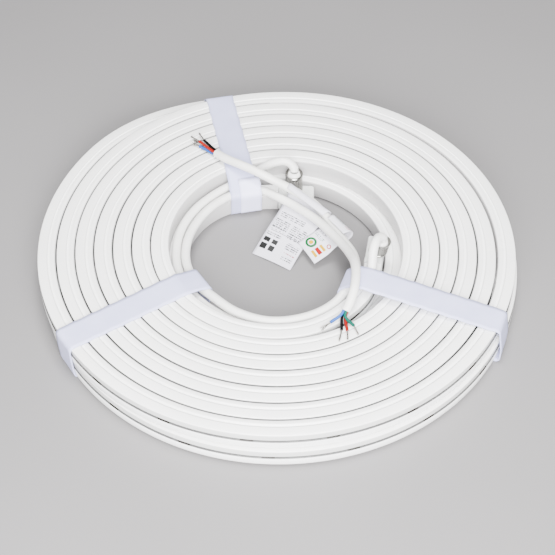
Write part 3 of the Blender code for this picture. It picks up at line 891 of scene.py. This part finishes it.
def strip_finish():
    made, tree, shader = new_finish("milky_silicone", 0.26)
    place = add_node(tree, "ShaderNodeAttribute", attribute_name="place")
    parts = add_node(tree, "ShaderNodeSeparateXYZ")
    tree.links.new(place.outputs["Vector"], parts.inputs["Vector"])
    run, outwards, up = parts.outputs
    colour = ramp(tree, noise_value(tree, 30.0), [(0.3, (0.83, 0.825, 0.815)), (0.7, (0.87, 0.865, 0.855))])
    outer_side = maths(tree, "GREATER_THAN", outwards, strip_width / 2 - 0.0010)
    inner_side = maths(tree, "LESS_THAN", outwards, 0.0005 - strip_width / 2)
    inner_corner = maths(tree, "LESS_THAN", outwards, 0.0008 - strip_width / 2)
    above_slit = maths(tree, "MULTIPLY", outer_side, near(tree, up, 0.0030, 0.0026))
    below_slit = maths(tree, "MULTIPLY", outer_side, near(tree, up, -0.0026, 0.0026))
    colour = mixed(tree, above_slit, colour, (0.68, 0.68, 0.67))
    colour = mixed(tree, below_slit, colour, (0.94, 0.94, 0.94))
    colour = mixed(tree, inner_side, colour, (0.49, 0.48, 0.48))
    on_top = maths(tree, "GREATER_THAN", up, 0.0050)
    # painted highlight: a band on the top face beside the step is painted nearly white
    painted_ridge_highlight = maths(tree, "MULTIPLY", near(tree, outwards, -0.0015, 0.0008), on_top)
    colour = mixed(tree, painted_ridge_highlight, colour, (0.95, 0.95, 0.94))
    # painted shade: the riser of the step on the top face is painted darker, at half strength
    painted_riser_shade = maths(tree, "MULTIPLY", near(tree, outwards, -0.0004, 0.0003), on_top)
    colour = mixed(tree, maths(tree, "MULTIPLY", painted_riser_shade, 0.5), colour, (0.50, 0.50, 0.49))
    far_out = maths(tree, "GREATER_THAN", outwards, 0.0044)
    in_slit = maths(tree, "MULTIPLY", near(tree, up, 0.0002, 0.0008), far_out)
    # painted shade: the slit in the outer side is painted nearly black
    colour = mixed(tree, maths(tree, "MULTIPLY", in_slit, 0.95), colour, (0.05, 0.05, 0.05))
    phase = maths(tree, "PINGPONG", maths(tree, "SUBTRACT", run, first_mark), mark_spacing / 2)
    mark = maths(tree, "MULTIPLY", in_slit, maths(tree, "LESS_THAN", phase, mark_length / 2))
    colour = mixed(tree, mark, colour, (0.02, 0.018, 0.016))
    depth = maths(tree, "ABSOLUTE", up)
    # painted shade: the walls in each narrow gap between turns are painted darker, more so deeper down
    for side, full_shade, start, stop in GAPS:
        edge = {"outer": outer_side, "inner": inner_corner}[side]
        gap = maths(tree, "MULTIPLY", edge, between(tree, run, run_at(start), run_at(stop)))
        deep = add_node(tree, "ShaderNodeMapRange", [("From Min", gap_top), ("From Max", full_shade)])
        tree.links.new(depth, deep.inputs["Value"])
        shaded = maths(tree, "MULTIPLY", gap, deep.outputs["Result"])
        colour = mixed(tree, shaded, colour, (0.15, 0.15, 0.15))
    tree.links.new(colour, shader.inputs["Base Color"])
    vary_roughness(tree, shader, noise_value(tree, 60.0), 0.22, 0.30)
    bump(tree, shader, noise_value(tree, 900.0, 4.0), 0.2, 0.00005)
    return made


# %% [markdown]
# The flags carry print. Ours is generic: rows of grey word-like specks, a grid, and a few plain
# coloured shapes. Each mark is one comparison on the page's own coordinates, which the sheets
# stored. A table of marks then makes a whole page. The numbers in page_shape say about how many
# times longer than wide a page is, which keeps the rings round.

# %% Print
PAGES = {
    "wide": [
        ("bar", (0.01, 0.01, 0.01), 0.13, 0.13, 0.08, 0.028),
        ("bar", (0.01, 0.01, 0.01), 0.13, 0.21, 0.08, 0.028),
        ("bar", (0.02, 0.02, 0.02), 0.34, 0.13, 0.07, 0.028),
        ("bar", (0.02, 0.02, 0.02), 0.34, 0.21, 0.07, 0.028),
        ("words", (0.01, 0.01, 0.01), 0.23, 0.29, 0.18, 0.028),
        ("words", (0.01, 0.01, 0.01), 0.80, 0.09, 0.14, 0.030),
        ("words", (0.25, 0.01, 0.01), 0.80, 0.15, 0.14, 0.018),
        ("words", (0.01, 0.01, 0.01), 0.78, 0.23, 0.16, 0.045),
        ("words", (0.01, 0.01, 0.01), 0.25, 0.42, 0.19, 0.070),
        ("words", (0.01, 0.01, 0.01), 0.72, 0.40, 0.21, 0.080),
        ("words", (0.01, 0.01, 0.01), 0.40, 0.55, 0.32, 0.030),
        ("bar", (0.05, 0.05, 0.05), 0.50, 0.335, 0.42, 0.003),
        ("words", (0.05, 0.05, 0.05), 0.55, 0.86, 0.30, 0.030),
    ],
    "small": [
        ("ring", (0.001, 0.085, 0.018), 0.27, 0.17, 0.16, 0.045),
        ("dot", (0.46, 0.27, 0.0), 0.27, 0.17, 0.080, 0),
        ("bar", (0.26, 0.003, 0.001), 0.70, 0.17, 0.14, 0.024),
        ("bar", (0.46, 0.27, 0.0), 0.70, 0.245, 0.14, 0.024),
        ("bar", (0.46, 0.27, 0.0), 0.70, 0.095, 0.14, 0.024),
        ("words", (0.001, 0.10, 0.07), 0.30, 0.33, 0.22, 0.030),
        ("ring", (0.30, 0.006, 0.006), 0.82, 0.34, 0.070, 0.018),
        ("words", (0.001, 0.10, 0.07), 0.35, 0.85, 0.24, 0.035),
        ("words", (0.36, 0.01, 0.01), 0.80, 0.86, 0.12, 0.030),
        ("words", (0.01, 0.01, 0.01), 0.25, 0.42, 0.20, 0.020),
    ],
}
page_shape = {"wide": 2.2, "small": 2.3}


def printed(name, base):
    """White paper with the marks of one page."""
    made, tree, shader = new_finish(name, 0.5, Specular_IOR_Level=0.12)
    page = add_node(tree, "ShaderNodeAttribute", attribute_name="page")
    parts = add_node(tree, "ShaderNodeSeparateXYZ")
    tree.links.new(page.outputs["Vector"], parts.inputs["Vector"])
    across, down, _ = parts.outputs
    specks = add_node(tree, "ShaderNodeTexNoise", [("Scale", 1.0), ("Detail", 1.0)])
    stretch = add_node(tree, "ShaderNodeMapping", [("Scale", (46.0, 16.0, 1.0))])
    tree.links.new(page.outputs["Vector"], stretch.inputs["Vector"])
    tree.links.new(stretch.outputs["Vector"], specks.inputs["Vector"])
    rows = maths(tree, "LESS_THAN", maths(tree, "PINGPONG", down, 0.0125), 0.0065)
    words = maths(tree, "MULTIPLY", rows, maths(tree, "GREATER_THAN", specks.outputs["Fac"], 0.47))
    colour = ramp(tree, noise_value(tree, 60.0), [(0.3, base), (0.7, tuple(c * 1.03 for c in base))])
    shape = page_shape[name]
    for kind, ink, u, v, reach_u, reach_v in PAGES[name]:
        if kind in ("bar", "words"):
            mask = maths(tree, "MULTIPLY", near(tree, across, u, reach_u), near(tree, down, v, reach_v))
            if kind == "words":
                mask = maths(tree, "MULTIPLY", mask, words)
        else:
            along_u = maths(tree, "POWER", maths(tree, "SUBTRACT", across, u), 2.0)
            from_v = maths(tree, "SUBTRACT", down, v)
            along_v = maths(tree, "POWER", maths(tree, "MULTIPLY", from_v, shape), 2.0)
            away = maths(tree, "SQRT", maths(tree, "ADD", along_u, along_v))
            inside = maths(tree, "LESS_THAN", away, reach_u)
            mask = near(tree, away, reach_u, reach_v) if kind == "ring" else inside
        colour = mixed(tree, mask, colour, ink)
    tree.links.new(colour, shader.inputs["Base Color"])
    vary_roughness(tree, shader, noise_value(tree, 90.0), 0.42, 0.58)
    bump(tree, shader, noise_value(tree, 500.0, 3.0), 0.2, 0.00003)
    return made


# %% All finishes
finishes = {
    "strip": strip_finish(),
    "cap": grained("cap_silicone", (0.66, 0.67, 0.66), (0.72, 0.73, 0.72), 0.46, 700, 0.00006),
    "jacket": grained("lead_jacket", (0.74, 0.735, 0.715), (0.80, 0.795, 0.775), 0.34, 800, 0.00004),
    "film": grained("strap_film", (0.46, 0.475, 0.71), (0.52, 0.535, 0.77), 0.45, 500, 0.00008),
    "double_film": grained(
        "strap_film_double", (0.67, 0.675, 0.93), (0.73, 0.735, 0.97), 0.42, 500, 0.00008
    ),
    "black": grained(
        "black_insulation", (0.0012, 0.0011, 0.0011), (0.0024, 0.002, 0.002), 0.45, 600, 0.00004,
        Specular_IOR_Level=0.2,
    ),
    "red": grained(
        "red_insulation", (0.20, 0.003, 0.0015), (0.24, 0.005, 0.002), 0.45, 600, 0.00004,
        Specular_IOR_Level=0.2,
    ),
    "blue": grained(
        "blue_insulation", (0.016, 0.070, 0.28), (0.022, 0.085, 0.33), 0.45, 600, 0.00004,
        Specular_IOR_Level=0.2,
    ),
    "green": grained(
        "green_insulation", (0.0001, 0.068, 0.048), (0.0002, 0.085, 0.062), 0.45, 600, 0.00004,
        Specular_IOR_Level=0.1,
    ),
    "strand": grained(
        "tinned_strand", (0.36, 0.34, 0.31), (0.46, 0.43, 0.40), 0.30, 900, 0.00002,
        Metallic=1.0,
    ),
    "ferrule": grained(
        "plated_sleeve", (0.30, 0.30, 0.28), (0.40, 0.39, 0.37), 0.24, 500, 0.00003,
        Metallic=1.0,
    ),
    "wide": printed("wide", (0.62, 0.61, 0.68)),
    "small": printed("small", (0.66, 0.65, 0.71)),
    "ground": grained("studio_floor", (0.176, 0.170, 0.172), (0.186, 0.180, 0.182), 0.70, 40, 0.00010),
}
print("finishes:", len(finishes))

# %% [markdown]
# ## Put the finishes on and tie every piece to the frame
# Each new piece takes one finish, rides on the coil's only body, and hides the solids it stands for.


# %% Tie pieces to the frame
def settle(piece, finish, slot, *nodes):
    piece.data.materials.clear()
    piece.data.materials.append(finishes[finish])
    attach(piece, "root")
    if nodes:
        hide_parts(*nodes)


settle(strip, "strip", "strip", "strip_coil")
for layer in ("lower", "upper"):
    settle(caps[layer], "cap", "end_cap", "end_cap_" + layer)
    settle(ferrules[layer], "ferrule", "ferrule", "ferrule_" + layer)
    settle(boots[layer], "jacket", "lead_jacket", "boot_" + layer)
    settle(leads[layer], "jacket", "lead_jacket", "lead_" + layer)
    for (colour, core), wire in zip(cores[layer], strands[layer]):
        settle(core, colour, "core_" + colour, f"lead_{layer}_core_{colour}")
        settle(wire, "strand", "conductor", f"lead_{layer}_wire_{colour}")
for name, pieces in straps.items():
    settle(pieces[0], "film", "strap", "strap_" + name)
    for piece in pieces[1:]:
        settle(piece, "double_film", "strap")
for name, piece in papers.items():
    settle(piece, name, "label", "label_" + name)
floor.data.materials.append(finishes["ground"])
